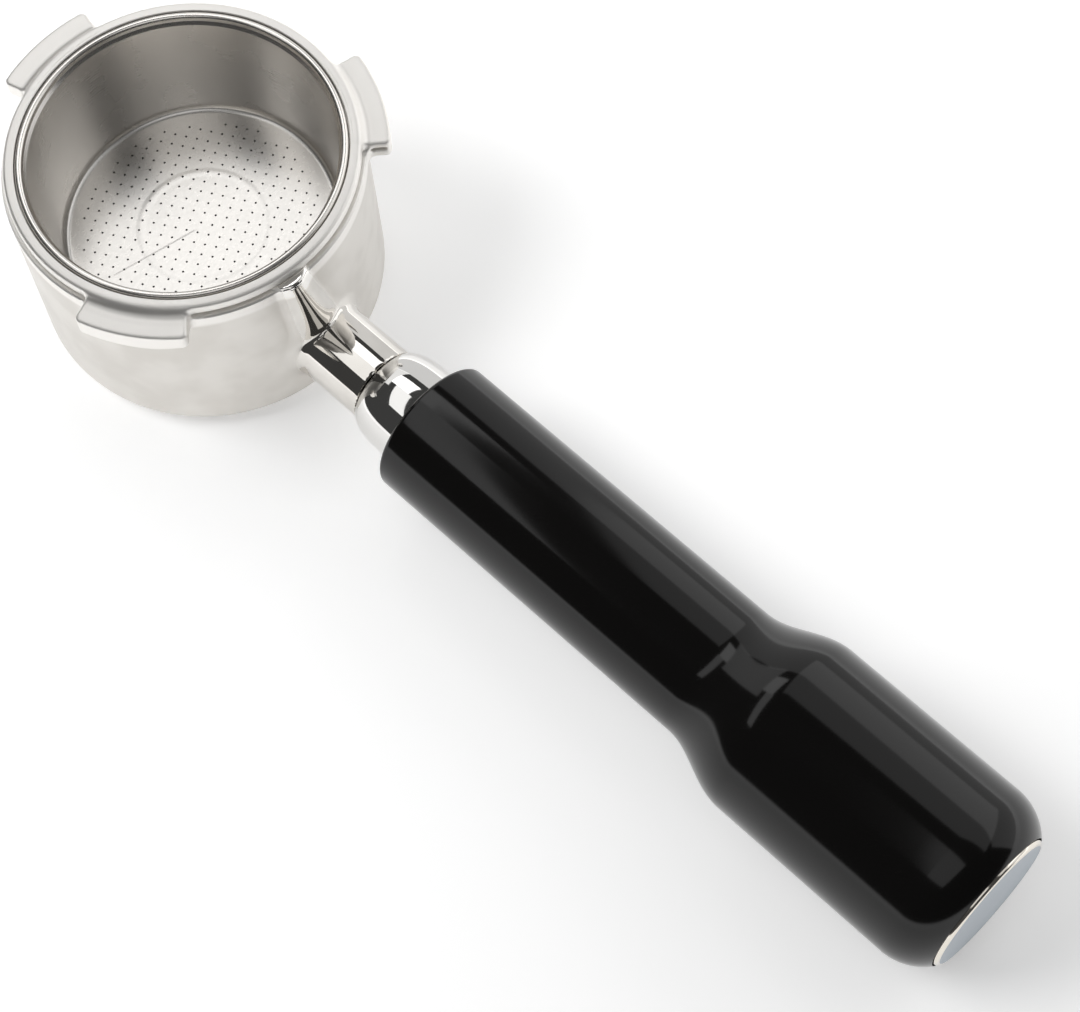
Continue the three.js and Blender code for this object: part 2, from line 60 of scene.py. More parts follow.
cupTop = boxIn("holder_body")[1].z
basketLow, basketHigh = boxIn("filter_basket")
sealCentre = boxCentre("grip_seal")
washerCentre = boxCentre("stud_washer")
handleRise = math.atan2(washerCentre.z - sealCentre.z, washerCentre.x - sealCentre.x)
handleHeight = sealCentre.z - sealCentre.x * math.tan(handleRise)
handleWay = Vector((math.cos(handleRise), 0, math.sin(handleRise)))
handleUp = Vector((-math.sin(handleRise), 0, math.cos(handleRise)))
handlePlace = Matrix.Translation((0, 0, handleHeight)) @ Matrix(
    (handleUp, Vector((0, -1, 0)), handleWay)
).transposed().to_4x4()


# Meshes

def meshObject(name, points, faces):
    mesh = bpy.data.meshes.new(name)
    mesh.from_pydata([tuple(c * mm for c in p) for p in points], [], [tuple(f) for f in faces])
    mesh.update()
    obj = bpy.data.objects.new(name, mesh)
    bpy.context.scene.collection.objects.link(obj)
    outward(obj)
    return obj


def outward(obj):
    work = bmesh.new()
    work.from_mesh(obj.data)
    bmesh.ops.remove_doubles(work, verts=work.verts, dist=1e-7)
    bmesh.ops.recalc_face_normals(work, faces=work.faces)
    work.to_mesh(obj.data)
    work.free()


def arc(x, y, radius, first, last, steps=8):
    angles = np.radians(np.linspace(first, last, steps + 1))
    return [(x + radius * math.cos(a), y + radius * math.sin(a)) for a in angles]


def revolve(name, outline, steps=128, place=Matrix()):
    # an outline that starts and ends on the axis, or one that closes on itself
    turn = np.linspace(0, 2 * math.pi, steps, endpoint=False)
    points, rings = [], []
    for radius, height in outline:
        first = len(points)
        if radius < 1e-6:
            points.append(place @ Vector((0, 0, height)))
            rings.append([first] * steps)
        else:
            points += [
                place @ Vector((radius * math.cos(a), radius * math.sin(a), height)) for a in turn
            ]
            rings.append(list(range(first, first + steps)))
    pairs = list(zip(rings, rings[1:]))
    if outline[0][0] > 1e-6:
        pairs.append((rings[-1], rings[0]))
    faces = []
    for low, high in pairs:
        for i in range(steps):
            j = (i + 1) % steps
            face = list(dict.fromkeys([low[i], low[j], high[j], high[i]]))
            if len(face) > 2:
                faces.append(face)
    return meshObject(name, points, faces)


def rod(radius, low, high, x=0, y=0, steps=48, place=Matrix()):
    outline = [(0, low), (radius, low), (radius, high), (0, high)]
    return revolve("rod", outline, steps, place @ Matrix.Translation((x, y, 0)))


def flatten(obj):
    # the evaluated shape as a plain mesh, with no modifiers left
    seen = obj.evaluated_get(bpy.context.evaluated_depsgraph_get())
    mesh = bpy.data.meshes.new_from_object(seen)
    obj.modifiers.clear()
    obj.data = mesh
    return obj


def combine(obj, tool, operation):
    change = obj.modifiers.new("change", "BOOLEAN")
    change.operation = operation
    change.solver = "MANIFOLD"
    change.object = tool
    flatten(obj)
    bpy.data.objects.remove(tool)
    return obj


def cut(obj, tool):
    return combine(obj, tool, "DIFFERENCE")


def join(obj, tool):
    return combine(obj, tool, "UNION")


def smooth(obj, sharpAngle=30):
    obj.data.shade_smooth()
    obj.data.set_sharp_from_angle(angle=math.radians(sharpAngle))
    return obj


def finishPiece(obj, body, material, slotName, *nodes):
    obj.data.materials.clear()
    obj.data.materials.append(material)
    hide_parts(*nodes)
    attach(obj, body)
    return obj


# Rounded shapes given by a distance field

def smoothMin(a, b, reach):
    share = np.clip(0.5 + 0.5 * (b - a) / reach, 0, 1)
    return b * (1 - share) + a * share - reach * share * (1 - share)


def smoothMax(a, b, reach):
    return -smoothMin(-a, -b, reach)


def step01(value):
    value = np.clip(value, 0, 1)
    return value * value * (3 - 2 * value)


def roundedBoth(a, b, radius):
    # inside both distances, with the edge between them rounded
    a, b = a + radius, b + radius
    outside = np.hypot(np.maximum(a, 0), np.maximum(b, 0))
    return outside + np.minimum(np.maximum(a, b), 0) - radius


net = dict(probe=2e-3, rounds=3, steepFloor=0.05)  # how points are pulled onto the shape


def fieldSlope(field, points):
    reach = net["probe"]
    ways = np.eye(3) * reach
    return np.stack([(field(points + w) - field(points - w)) / (2 * reach) for w in ways], -1)


def netSurface(name, field, low, high, step):
    # one point in each cell of a grid that the shape's skin passes through, then pulled onto it
    ticks = [np.arange(a, b + step, step) for a, b in zip(low, high)]
    grid = np.stack(np.meshgrid(*ticks, indexing="ij"), -1)
    values = field(grid.reshape(-1, 3)).reshape(grid.shape[:3])
    cells = tuple(n - 1 for n in values.shape)
    total = np.zeros(cells + (3,))
    count = np.zeros(cells)
    crossings = []
    for axis in range(3):
        near = [slice(None)] * 3
        far = [slice(None)] * 3
        near[axis], far[axis] = slice(0, -1), slice(1, None)
        a, b = values[tuple(near)], values[tuple(far)]
        crossing = (a < 0) != (b < 0)
        share = np.where(crossing, a / np.where(a == b, 1, a - b), 0)
        place = grid[tuple(near)].copy()
        place[..., axis] += share * step
        place[~crossing] = 0
        u, v = [k for k in range(3) if k != axis]
        for i in (0, 1):
            for j in (0, 1):
                part = [slice(None)] * 3
                part[u], part[v] = slice(i, i + cells[u]), slice(j, j + cells[v])
                total += place[tuple(part)]
                count += crossing[tuple(part)]
        crossings.append((axis, u, v, np.argwhere(crossing)))
    used = count > 0
    index = np.full(cells, -1)
    index[used] = np.arange(used.sum())
    points = total[used] / count[used][:, None]
    faces = []
    for axis, u, v, edges in crossings:
        corners = []
        for i, j in ((1, 1), (0, 1), (0, 0), (1, 0)):
            cell = edges.copy()
            cell[:, u] -= i
            cell[:, v] -= j
            corners.append(index[tuple(cell.T)])
        faces.append(np.stack(corners, -1))
    for _ in range(net["rounds"]):
        slope = fieldSlope(field, points)
        steep = np.maximum((slope ** 2).sum(-1, keepdims=True), net["steepFloor"])
        points = points - np.clip(field(points)[:, None] * slope / steep, -step / 2, step / 2)
    return meshObject(name, points, np.concatenate(faces).tolist())


# Materials

class Wire:
    # one socket of a material's tree, so that sums on it add Math nodes
    def __init__(self, tree, socket):
        self.tree = tree
        self.socket = socket

    def maths(self, operation, first, second=0.0):
        return addNode(self.tree, "ShaderNodeMath", dict(operation=operation), {0: first, 1: second})

    def __add__(self, other):
        return self.maths("ADD", self, other)

    def __radd__(self, other):
        return self.maths("ADD", other, self)

    def __sub__(self, other):
        return self.maths("SUBTRACT", self, other)

    def __rsub__(self, other):
        return self.maths("SUBTRACT", other, self)

    def __mul__(self, other):
        return self.maths("MULTIPLY", self, other)

    def __rmul__(self, other):
        return self.maths("MULTIPLY", other, self)

    def __truediv__(self, other):
        return self.maths("DIVIDE", self, other)

    def __pow__(self, other):
        return self.maths("POWER", self, other)

    def between(self, low, high):
        # 0 at low and 1 at high, eased
        settings = dict(interpolation_type="SMOOTHSTEP")
        return addNode(self.tree, "ShaderNodeMapRange", settings, {0: self, 1: low, 2: high})

    def top(self, other):
        return self.maths("MAXIMUM", self, other)

    def size(self):
        return self.maths("ABSOLUTE", self)


def addNode(tree, kind, settings=None, sockets=None, output=0):
    node = tree.nodes.new(kind)
    for name, value in (settings or {}).items():
        setattr(node, name, value)
    for name, value in (sockets or {}).items():
        if isinstance(value, Wire):
            tree.links.new(value.socket, node.inputs[name])
        elif value is not None:
            node.inputs[name].default_value = value
    return Wire(tree, node.outputs[output] if len(node.outputs) else None)


class Recipe:
    # a material with its object coordinates, in millimetres, ready to use
    def __init__(self, name):
        self.material = bpy.data.materials.new(name)
        self.material.use_nodes = True
        self.tree = self.material.node_tree
        self.tree.nodes.clear()
        place = self.node("ShaderNodeTexCoord", output=3)
        scale = dict(operation="SCALE")
        self.place = self.node("ShaderNodeVectorMath", scale, {0: place, "Scale": 1 / mm})
        self.x, self.y, self.z = [
            self.node("ShaderNodeSeparateXYZ", None, {0: self.place}, axis) for axis in range(3)
        ]

    def node(self, kind, settings=None, sockets=None, output=0):
        return addNode(self.tree, kind, settings, sockets, output)

    def stretched(self, x, y, z):
        return self.node("ShaderNodeVectorMath", dict(operation="MULTIPLY"), {0: self.place, 1: (x, y, z)})

    def noise(self, scale, detail=2.0, place=None, roughness=0.5):
        sockets = {"Vector": place or self.place, "Scale": scale, "Detail": detail, "Roughness": roughness}
        return self.node("ShaderNodeTexNoise", None, sockets)

    def blend(self, share, first, second):
        settings = dict(data_type="RGBA")
        return self.node("ShaderNodeMix", settings, {0: share, 6: (*first, 1), 7: (*second, 1)}, 2)

    def bump(self, height, distance, strength=1.0):
        sockets = {"Height": height, "Distance": distance * mm, "Strength": strength}
        return self.node("ShaderNodeBump", None, sockets)

    def around(self, y, z):
        # distance from a line through two centred coordinates
        return (y * y + z * z) ** 0.5

    def finish(self, **sockets):
        named = {name.replace("_", " "): value for name, value in sockets.items()}
        shader = self.node("ShaderNodeBsdfPrincipled", None, named)
        self.node("ShaderNodeOutputMaterial", None, {"Surface": shader})
        return self.material


# the rim colour is a painted highlight on the rim and lug tops
chrome = dict(
    rough=0.34, rimRough=0.09, polishedRough=0.045, wallColour=(0.69, 0.665, 0.625),
    paintedTopHighlight=(0.95, 0.93, 0.895), tint=(0.78, 0.77, 0.75), rimFrom=28.9, turnedTo=31.0,
)


def satinChrome(name, polish=None):
    # blasted chrome on brass; the neck and its gusset are polished, the rim and the bore are turned. The
    # upper band's much lighter colour is a painted highlight on the rim and lug tops
    recipe = Recipe(name)
    grain = recipe.noise(9.0, 3.0)
    cloud = recipe.noise(0.12, 2.0)
    radius = recipe.around(recipe.x, recipe.y)
    turned = recipe.noise(1.0, 2.0, recipe.node(
        "ShaderNodeCombineXYZ", None, {0: radius * 7.0, 1: recipe.z * 7.0, 2: 0.0}))
    rough = chrome["rough"] + 0.06 * cloud + 0.05 * grain
    upper = radius.between(chrome["rimFrom"], chrome["rimFrom"] + 0.2)
    upper = recipe.z.between(cupTop - 6.0, cupTop - 4.5) * upper
    rough = rough + chrome["rimRough"] * upper
    machined = 1 - radius.between(chrome["turnedTo"], chrome["turnedTo"] + 0.6)
    machined = recipe.z.between(cupTop - 2.3, cupTop - 1.9) * machined
    blasted = grain * (1 - machined) + turned * machined * 0.6
    if polish:
        mirror = polish(recipe)
        rough = rough * (1 - mirror) + chrome["polishedRough"] * mirror
        blasted = blasted * (1 - mirror)
    # the cloud gives random tone; the upper band (rim, lug tops and the wall just under them) gets a much
    # lighter colour, a painted highlight
    bright = cloud.between(0.3, 0.7) * 0.3 + upper
    colour = recipe.blend(bright.maths("MINIMUM", bright, 1.0), chrome["wallColour"], chrome["paintedTopHighlight"])
    return recipe.finish(
        Base_Color=colour, Metallic=1.0, Roughness=rough, Normal=recipe.bump(blasted, 0.006, 0.5)
    )


def polishedShare(recipe):
    # the neck, then the leaning face of the gusset above it
    lift = recipe.z - handleHeight - recipe.x * math.tan(handleRise)
    radius = recipe.around(recipe.y, lift)
    neck = (1 - radius.between(8.6, 9.4)) * recipe.x.between(32.2, 32.6)
    lean = recipe.y - gusset["polishLean"] * (recipe.z - gusset["polishFoot"]) - gusset["polishMiddle"]
    width = gusset["polishHalf"] - gusset["polishTaper"] * (recipe.z - gusset["polishFoot"])
    face = 1 - (lean.size() / width).between(0.93, 1.03)
    face = face * recipe.z.between(19.5, 20.5) * recipe.around(recipe.x, recipe.y).between(31.0, 31.2)
    face = face * recipe.x.between(20.0, 21.0)
    face = face * (1 - recipe.z.between(40.3, 40.5))
    return neck.top(face)


def polishedChrome(name):
    recipe = Recipe(name)
    smear = recipe.noise(0.25, 3.0)
    speck = recipe.noise(6.0, 2.0)
    rough = 0.025 + 0.035 * smear + 0.01 * speck
    darker = tuple(c * 0.94 for c in chrome["tint"])
    return recipe.finish(
        Base_Color=recipe.blend(smear, chrome["tint"], darker), Metallic=1.0, Roughness=rough,
        Normal=recipe.bump(smear, 0.01, 0.3),
    )


# the floor's darker colour is painted shade at the bottom of the basket
steel = dict(
    wallRough=0.22, floorRough=0.24, lipRough=0.24, colour=(0.84, 0.81, 0.77), paintedFloorShade=(0.66, 0.645, 0.62),
    scratchDepth=3.0,
)


def drawnSteel(name):
    # a drawn and polished basket: rings up the wall, a fine brushed grain on the floor; the floor's darker
    # colour is painted shade
    recipe = Recipe(name)
    rings = recipe.noise(1.0, 3.0, recipe.stretched(0.03, 0.03, 5.0))
    grain = recipe.noise(5.0, 3.0, recipe.stretched(1.0, 0.35, 1.0))
    cloud = recipe.noise(0.09, 2.0)
    onFloor = 1 - recipe.z.between(basketLow.z + 1.4, basketLow.z + 1.8)
    onLip = recipe.z.between(basketHigh.z - 1.6, basketHigh.z - 1.3)
    wallRough = steel["wallRough"] + 0.1 * cloud + 0.02 * rings
    floorRough = steel["floorRough"] + 0.1 * grain
    rough = wallRough * (1 - onFloor) + floorRough * onFloor
    rough = rough * (1 - onLip) + steel["lipRough"] * onLip
    line = recipe.x * hairline["across"][0] + recipe.y * hairline["across"][1]
    along = recipe.x * hairline["along"][0] + recipe.y * hairline["along"][1]
    scratch = (1 - line.size().between(0.04, 0.13)) * onFloor * along.between(1.0, 2.5)
    scratch = scratch * (1 - along.between(hairline["reach"] - 2, hairline["reach"]))
    height = rings * (1 - onFloor) * 0.03 + grain * onFloor - scratch * steel["scratchDepth"]
    # the floor is darker than the wall: painted shade at the bottom of the basket, mottled at random by the
    # cloud and grain
    floorShadeShare = 0.4 + cloud * 0.3 + grain * 0.4
    colour = recipe.blend(floorShadeShare * onFloor, steel["colour"], steel["paintedFloorShade"])
    return recipe.finish(
        Base_Color=colour, Metallic=1.0, Roughness=rough, Normal=recipe.bump(height, 0.012, 0.6)
    )


plastic = dict(rough=0.09, colour=(0.0035, 0.0032, 0.003), dusty=(0.008, 0.0075, 0.007), gloss=1.42)


def glossPlastic(name):
    recipe = Recipe(name)
    ripple = recipe.noise(0.07, 2.0)
    dust = recipe.noise(3.0, 4.0, None, 0.7).between(0.62, 0.8)
    rough = plastic["rough"] + 0.04 * ripple + 0.1 * dust
    return recipe.finish(
        Base_Color=recipe.blend(dust, plastic["colour"], plastic["dusty"]),
        Roughness=rough, IOR=plastic["gloss"], Normal=recipe.bump(ripple, 0.05, 0.25),
    )


aluminium = dict(rough=0.3, edgeRough=0.12, face=(0.47, 0.52, 0.57), edge=(0.85, 0.8, 0.72), ringsPerMm=9.0)


def spunAluminium(name):
    # turned about the handle's axis, with a bright bevel
    recipe = Recipe(name)
    lift = recipe.z - handleHeight - recipe.x * math.tan(handleRise)
    radius = recipe.around(recipe.y, lift)
    place = recipe.node("ShaderNodeCombineXYZ", None, {0: radius * aluminium["ringsPerMm"], 1: 0.0, 2: 0.0})
    rings = recipe.noise(1.0, 3.0, place)
    edge = radius.between(capFace["flatRadius"] - 0.1, capFace["flatRadius"] + 0.1)
    rough = (aluminium["rough"] + 0.12 * rings) * (1 - edge) + aluminium["edgeRough"] * edge
    colour = recipe.blend(edge, aluminium["face"], aluminium["edge"])
    return recipe.finish(
        Base_Color=colour, Metallic=1.0, Roughness=rough,
        Normal=recipe.bump(rings * (1 - edge), 0.008, 0.5),
    )


def plainMetal(name, colour, roughness):
    recipe = Recipe(name)
    grain = recipe.noise(4.0, 3.0)
    cloud = recipe.noise(0.4, 2.0)
    darker = tuple(c * 0.82 for c in colour)
    return recipe.finish(
        Base_Color=recipe.blend(cloud, colour, darker), Metallic=1.0,
        Roughness=roughness - 0.06 + 0.12 * cloud, Normal=recipe.bump(grain, 0.01, 0.4),
    )


def dullPlastic(name, colour, roughness, grainSize):
    recipe = Recipe(name)
    grain = recipe.noise(grainSize, 3.0)
    cloud = recipe.noise(0.3, 2.0)
    lighter = tuple(c * 1.35 for c in colour)
    return recipe.finish(
        Base_Color=recipe.blend(cloud, colour, lighter),
        Roughness=roughness - 0.05 + 0.1 * grain, Normal=recipe.bump(grain, 0.02, 0.5),
    )


def paperWhite(name):
    recipe = Recipe(name)
    cloud = recipe.noise(0.01, 2.0)
    near, far = studio["glowFrom"], studio["glowTo"]
    away = recipe.around(recipe.x - studio["glowMiddle"], recipe.y).between(near, far)
    dim, lit = [(studio[name],) * 3 for name in ("glowNear", "glowFar")]
    return recipe.finish(
        Base_Color=recipe.blend(cloud, (0.9, 0.9, 0.9), (0.91, 0.91, 0.91)), Roughness=0.7,
        Specular_IOR_Level=0.1, Emission_Color=recipe.blend(away, dim, lit), Emission_Strength=1.0,
    )


# Camera, light and floor

view = dict(place=(224.5, -123.8, 427.6), aim=(82.5, 2.2, 15.0), roll=-4.89, lens=87.87)
studio = dict(
    # the floor's own glow round the object and far from it
    glowNear=0.33, glowFar=0.7, glowMiddle=70, glowFrom=150.0, glowTo=420.0,
    floorReach=4000, floorDrop=0.1,
    sky=(0.055, 0.055, 0.055),
    panels=dict(
        # each panel: corner, the two edges from it, brightness
        soft=((-225, -370, 450), (129, 0, 0), (0, 400, 0), 1.15),
        over=((-310, 30, 450), (194, 0, 0), (0, 225, 0), 1.75),
        far=((-800, -60, 450), (490, 0, 0), (0, 480, 0), 0.95),
        # no reflection of this one shows; it casts the shadows
        key=((-620, -330, 520), (330, -330, 0), (230, 230, 330), 6.0),
        back=((-1200, 700, -60), (0, 0, 815), (2180, 0, 0), 0.72),
        band=((-26, 96, 450), (580, 154, 0), (-360, 1360, 0), 0.62),
        front=((60, -560, 760), (560, 0, 0), (0, 560, 0), 0.7),
    ),
)


def makeCamera():
    data = bpy.data.cameras.new("camera")
    data.lens = view["lens"]
    data.sensor_width = 36
    data.clip_start, data.clip_end = 0.01, 20
    camera = bpy.data.objects.new("camera", data)
    bpy.context.scene.collection.objects.link(camera)
    camera.location = Vector(view["place"]) * mm
    way = Vector(view["aim"]) - Vector(view["place"])
    turn = way.to_track_quat("-Z", "Y").to_matrix().to_4x4()
    roll = Matrix.Rotation(math.radians(view["roll"]), 4, "Z")
    camera.matrix_world = Matrix.Translation(camera.location) @ turn @ roll
    bpy.context.scene.camera = camera


def addPanel(name):
    corner, across, up, brightness = studio["panels"][name]
    corner, across, up = (Vector(c) * mm for c in (corner, across, up))
    data = bpy.data.lights.new(name, "AREA")
    data.shape = "RECTANGLE"
    data.size, data.size_y = across.length, up.length
    data.energy = brightness * math.pi * across.length * up.length
    lamp = bpy.data.objects.new(name, data)
    bpy.context.scene.collection.objects.link(lamp)
    facing = up.cross(across).normalized()
    side = across.normalized()
    turn = Matrix((side, (-facing).cross(side), -facing)).transposed().to_4x4()
    lamp.matrix_world = Matrix.Translation(corner + (across + up) / 2) @ turn
    lamp.visible_camera = False
    lamp.visible_glossy = name != "key"


def makeStudio():
    for name in studio["panels"]:
        addPanel(name)
    world = bpy.data.worlds.new("studio")
    world.use_nodes = True
    world.node_tree.nodes["Background"].inputs[0].default_value = (*studio["sky"], 1)
    scene = bpy.context.scene
    scene.world = world
    scene.view_settings.view_transform = "Standard"
    corners = [(x * studio["floorReach"], y * studio["floorReach"], -studio["floorDrop"])
               for x, y in ((-1, -1), (1, -1), (1, 1), (-1, 1))]
    floor = meshObject("floor", corners, [(0, 1, 2, 3)])
    floor.data.materials.append(paperWhite("floorPaper"))


# Holder body: the turned cup, three lugs, the neck and its gusset

cup = dict(
    wallRadius=31.8, cornerRadius=5.0, rimRadius=31.1, rimThickness=2.0, rimEdge=0.7,
    grooveWidth=0.6, grooveDepth=0.5, wallChamfer=0.3, seatRadius=29.15, seatDepth=1.4,
    boreRadius=28.1, boreCorner=1.5, springGrooveRadius=29.05, springGrooveHalf=0.9, springDrop=9.5,
    floorHeight=8.0, recessRadius=14.3, recessDepth=5.4, screwHole=2.3, drainRadius=2.2,
    drainPlace=8.0, breakEdge=0.15, recessChamfer=0.3, steps=256,
)
lug = dict(
    turns=(62.4, 182.4, 302.4), half=16.0, reach=36.1, drop=1.2, thickness=4.0, corner=1.2,
    edge=0.45, fillet=1.8, rampRise=0.105, rampLength=6.0, pocketHalf=(1.5, 1.5, 0.55),
    pocketDrop=1.8, pocketShift=0.2, pocketRound=0.3, pocketBlend=0.25, bury=1.5, step=0.32,
)
gusset = dict(
    footRadius=6.2, topRadius=4.1, footProud=2.6, topProud=1.15, topShift=-3.7, top=40.2,
    crease=0.6, fillet=0.7, edge=0.5, polishFoot=22.0, polishLean=-0.152, polishMiddle=-0.9, polishHalf=4.4,
    polishTaper=0.085,
)
neck = dict(
    radius=7.3, end=46.6, endEdge=0.3, flare=2.8, flareTop=26, flareFade=8, spigotRadius=5.0,
    spigotEnd=52.0, bore=4.3, boreStart=36.4, wallDrop=2.9, halfWidth=15, cover=1.6, step=0.4,
)


def cupOutline():
    wall, groove = cup["wallRadius"], cup["rimRadius"] - cup["grooveDepth"]
    grooveTop = cupTop - cup["rimThickness"]
    grooveFoot = grooveTop - cup["grooveWidth"]
    spring, half = cupTop - cup["springDrop"], cup["springGrooveHalf"]
    edge, chip = cup["rimEdge"], cup["breakEdge"]
    seat = cupTop - cup["seatDepth"]
    return [
        (0, cup["recessDepth"]),
        (cup["recessRadius"], cup["recessDepth"]),
        (cup["recessRadius"], cup["recessChamfer"]),
        (cup["recessRadius"] + cup["recessChamfer"], 0),
        *arc(wall - cup["cornerRadius"], cup["cornerRadius"], cup["cornerRadius"], -90, 0, 20),
        (wall, grooveFoot / 2),
        (wall, grooveFoot - cup["wallChamfer"]),
        (wall - cup["wallChamfer"], grooveFoot),
        (groove, grooveFoot),
        (groove, grooveTop),
        (cup["rimRadius"] - chip, grooveTop),
        (cup["rimRadius"], grooveTop + chip),
        *arc(cup["rimRadius"] - edge, cupTop - edge, edge, 0, 90, 8),
        (cup["seatRadius"] + chip, cupTop),
        (cup["seatRadius"], cupTop - chip),
        (cup["seatRadius"], seat),
        (cup["boreRadius"] + chip, seat),
        (cup["boreRadius"], seat - chip),
        (cup["boreRadius"], spring + half),
        (cup["springGrooveRadius"], spring + half),
        (cup["springGrooveRadius"], spring - half),
        (cup["boreRadius"], spring - half),
        *arc(cup["boreRadius"] - cup["boreCorner"], cup["floorHeight"] + cup["boreCorner"],
             cup["boreCorner"], 0, -90, 8),
        (0, cup["floorHeight"]),
    ]


def lugField(points):
    # the lug with a short piece of rim and wall that it grows out of
    x, y, z = points.T
    radius = np.hypot(x, y)
    along = np.arctan2(y, x) * lug["reach"]
    half = math.radians(lug["half"]) * lug["reach"]
    inside = cup["rimRadius"] - lug["bury"]
    middle, reach = (inside + lug["reach"]) / 2, (lug["reach"] - inside) / 2
    plan = roundedBoth(np.abs(along) - half, np.abs(radius - middle) - reach, lug["corner"])
    top = cupTop - lug["drop"]
    flat = np.abs(z - top + lug["thickness"] / 2) - lug["thickness"] / 2
    ramp = top - lug["thickness"] + lug["rampRise"] * (along - half + lug["rampLength"]) - z
    plate = roundedBoth(plan, np.maximum(flat, ramp), lug["edge"])
    wide, deep, high = lug["pocketHalf"]
    pocketRound = lug["pocketRound"]
    pocket = np.stack([
        np.abs(radius - (cup["rimRadius"] + lug["reach"]) / 2 - lug["pocketShift"]) - wide,
        np.abs(along + half) - deep,
        np.abs(z - top + lug["pocketDrop"]) - high,
    ])
    outside = np.linalg.norm(np.maximum(pocket + pocketRound, 0), axis=0)
    pocket = outside + np.minimum(pocket.max(0) + pocketRound, 0) - pocketRound
    plate = smoothMax(plate, -pocket, lug["pocketBlend"])
    grooveTop = cupTop - cup["rimThickness"]
    rim = np.maximum(roundedBoth(radius - cup["rimRadius"], z - cupTop, cup["rimEdge"]), grooveTop - z)
    wall = np.maximum(radius - cup["wallRadius"], z - grooveTop + cup["grooveWidth"])
    core = np.maximum(radius - cup["rimRadius"] + cup["grooveDepth"], z - grooveTop - 1)
    ring = np.minimum(np.minimum(rim, wall), core)
    grown = 0.01 - 0.05 * step01((plate - 1.0) / 2.0)
    whole = smoothMin(plate, ring, lug["fillet"]) - grown
    ends = np.maximum(np.abs(along) - half - 4, top - lug["thickness"] - 3 - z)
    return np.maximum(whole, np.maximum(ends, inside - radius))


def neckField(points):
    # the round neck, the leaning gusset above it and the wall that both grow out of
    x, y, z = points.T
    along = x * handleWay.x + (z - handleHeight) * handleWay.z
    lift = (z - handleHeight) * handleWay.x - x * handleWay.z
    bar = roundedBoth(np.hypot(y, lift) - neck["radius"], along - neck["end"], neck["endEdge"])
    share = (z - handleHeight) / (gusset["top"] - handleHeight)
    foot = cup["wallRadius"] + gusset["footProud"] - gusset["footRadius"]
    wallX = math.sqrt(cup["wallRadius"] ** 2 - gusset["topShift"] ** 2)
    head = wallX + gusset["topProud"] - gusset["topRadius"]
    size = gusset["footRadius"] + (gusset["topRadius"] - gusset["footRadius"]) * share
    side = np.hypot(x - foot - (head - foot) * share, y - gusset["topShift"] * share) - size
    blade = roundedBoth(side, z - gusset["top"], gusset["edge"])
    blade = np.maximum(blade, handleHeight - z)
    both = smoothMin(bar, blade, gusset["crease"])
    radius = np.hypot(x, y)
    wall = np.maximum(radius - cup["wallRadius"], z - cupTop + neck["wallDrop"])
    low = step01((neck["flareTop"] - z) / neck["flareFade"])
    grown = 0.01 - 0.06 * step01((both - 2.5) / 4)
    fillet = gusset["fillet"] + (neck["flare"] - gusset["fillet"]) * low
    whole = smoothMin(both, wall, fillet) - grown
    ends = np.maximum(np.abs(y) - neck["halfWidth"], cup["cornerRadius"] - z)
    return np.maximum(whole, np.maximum(ends, cup["boreRadius"] + neck["cover"] - radius))


def makeHolderBody():
    body = revolve("holderBody", cupOutline(), cup["steps"])
    inner = cup["rimRadius"] - 3
    sideways = lug["reach"] * math.sin(math.radians(lug["half"])) + 5
    for degrees in lug["turns"]:
        part = netSurface("lug", lugField, (inner - 4, -sideways, cupTop - 9),
                          (lug["reach"] + 1, sideways, cupTop + 1), lug["step"])
        part.data.transform(Matrix.Rotation(math.radians(degrees), 4, "Z"))
        join(body, part)
    foot, head = (23, -17, 3), (neck["end"] + 1, 18, cupTop - 1)
    join(body, netSurface("neck", neckField, foot, head, neck["step"]))
    join(body, rod(neck["spigotRadius"], neck["end"] - 2, neck["spigotEnd"], place=handlePlace))
    cut(body, rod(neck["bore"], neck["boreStart"], neck["spigotEnd"] + 1, place=handlePlace))
    low, high = cup["recessDepth"] - 1, cup["floorHeight"] + 1
    cut(body, rod(cup["screwHole"], low, high))
    for side in (-1, 1):
        cut(body, rod(cup["drainRadius"], low, high, y=side * cup["drainPlace"]))
    smooth(body, 35)
    finishPiece(body, "holder", satinChrome("bodyChrome", polishedShare), "holder_body", "holder_body")
    print("holder body", len(body.data.polygons))


# Basket: drawn sheet with a rolled lip and a perforated floor

basket = dict(
    floorRadius=25.2, mouthRadius=27.0, wall=0.6, corner=1.2, lipInner=27.6, lipHeight=1.3,
    ringRadius=11.3, ringRise=0.05, ringHalf=0.9, ringShoulder=0.5, guard=0.12, footCorner=0.4,
    lipEdge=0.2, neckDrop=1, throat=0.12, throatDrop=0.4, mouthDrop=1.4, steps=192,
)
punch = dict(pitch=2.1, reach=21.9, radius=0.21, turn=29.0, slide=(-0.55, 0.5), perSide=23, sides=10,
             depth=3)
hairline = dict(across=(0.974, -0.228), along=(-0.228, -0.974), reach=19.5)  # a scratch on the floor


